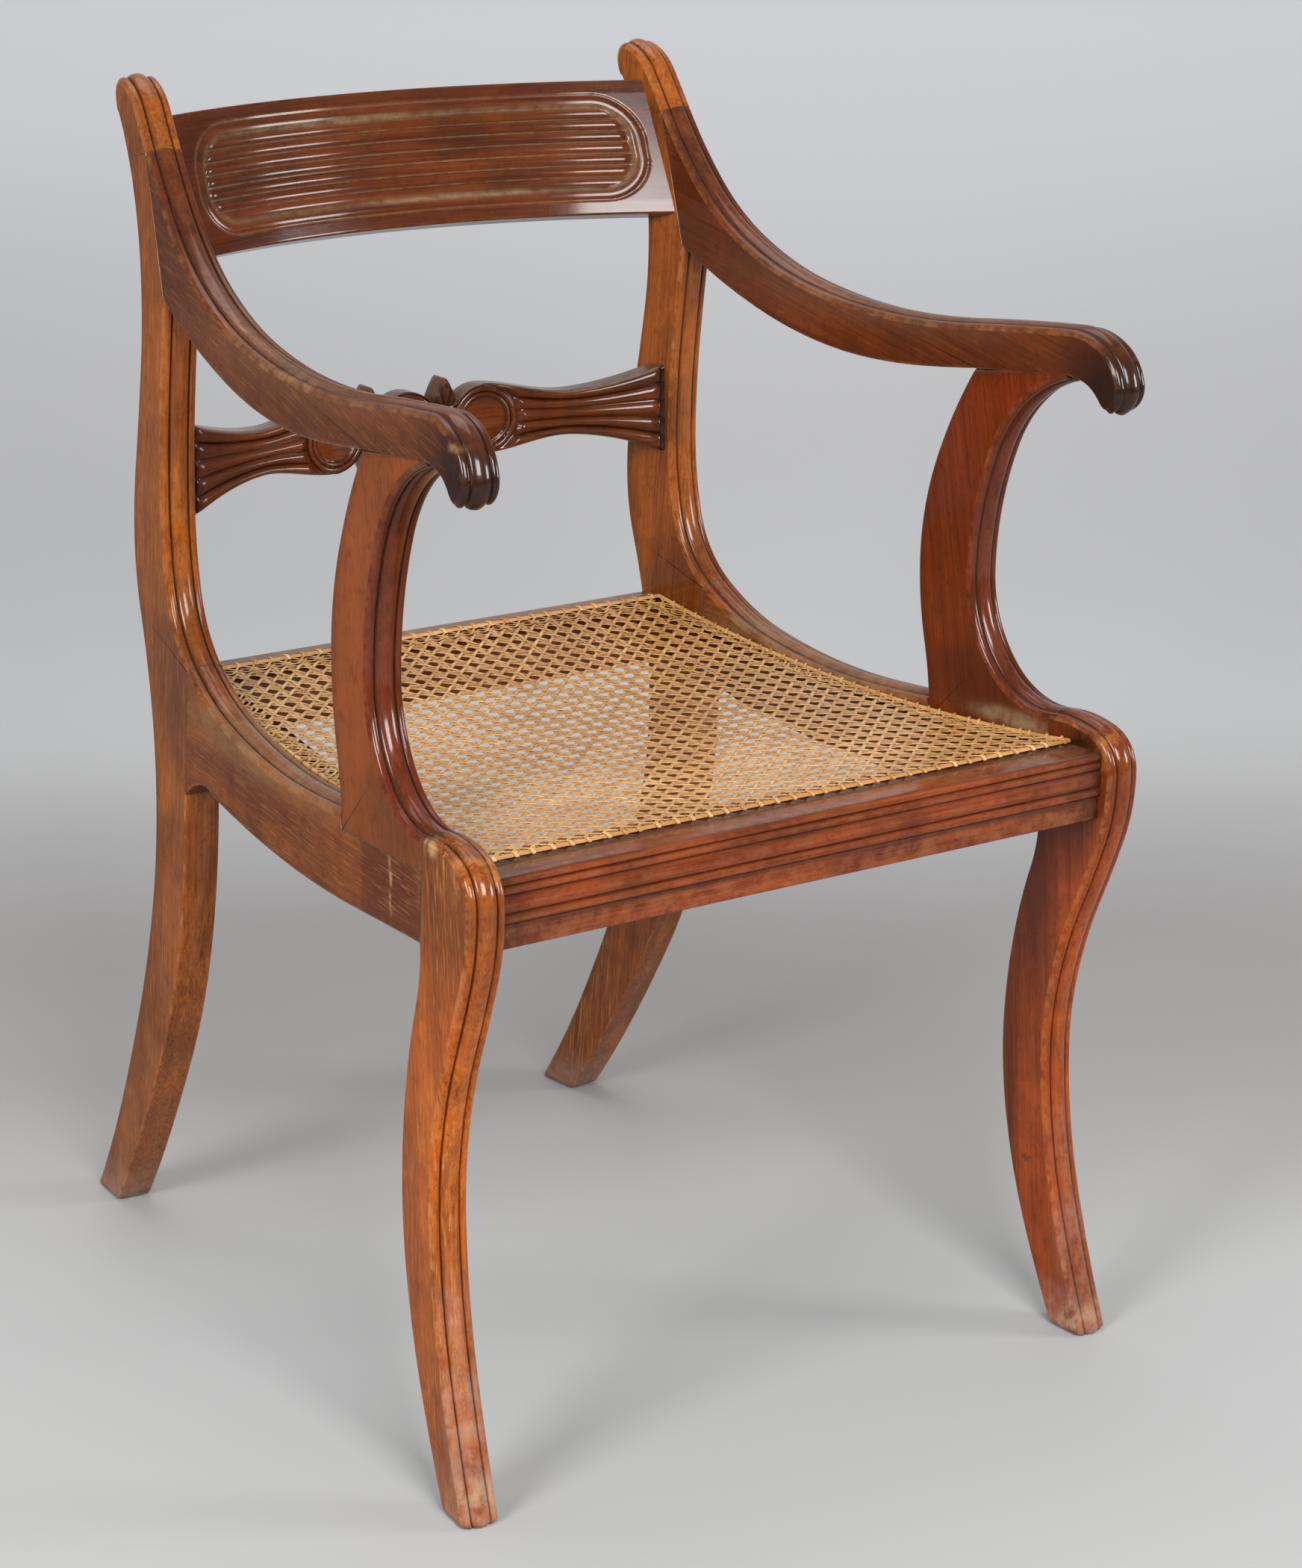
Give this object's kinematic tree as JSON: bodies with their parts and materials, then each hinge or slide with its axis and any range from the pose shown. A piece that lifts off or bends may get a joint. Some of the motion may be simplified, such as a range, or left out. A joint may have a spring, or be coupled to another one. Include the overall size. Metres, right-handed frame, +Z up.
{
  "type": "elbow chair",
  "caption": "Open armchair with sabre legs, scrolled arms, reeded side frames, a panelled top bar, a carved centre rail and a caned seat.",
  "frame": {"origin": "on the floor, under the middle of the chair's overall box", "axes": "+Z up, +Y towards the chair's back, +X to the right of someone who looks at its front"},
  "size_m": [0.5234, 0.6407, 0.8503],
  "materials": {
    "mahogany": "worn polish",
    "cane": "satin",
    "peg_wood": "raw",
    "screw_iron": "dull"
  },
  "bodies": {
    "root": {"back_post_left": "mahogany", "back_post_right": "mahogany", "front_leg_left": "mahogany", "front_leg_right": "mahogany", "side_rail_left": "mahogany", "side_rail_right": "mahogany", "arm_left": "mahogany", "arm_right": "mahogany", "arm_support_left": "mahogany", "arm_support_right": "mahogany", "front_rail": "mahogany", "rear_rail": "mahogany", "top_bar": "mahogany", "centre_rail": "mahogany", "cane_panel": "cane", "cane_binder": "cane", "corner_pegs": "peg_wood", "support_dowels": "peg_wood", "screw_pellets": "mahogany", "arm_screws": "screw_iron"}
  },
  "joints": []
}
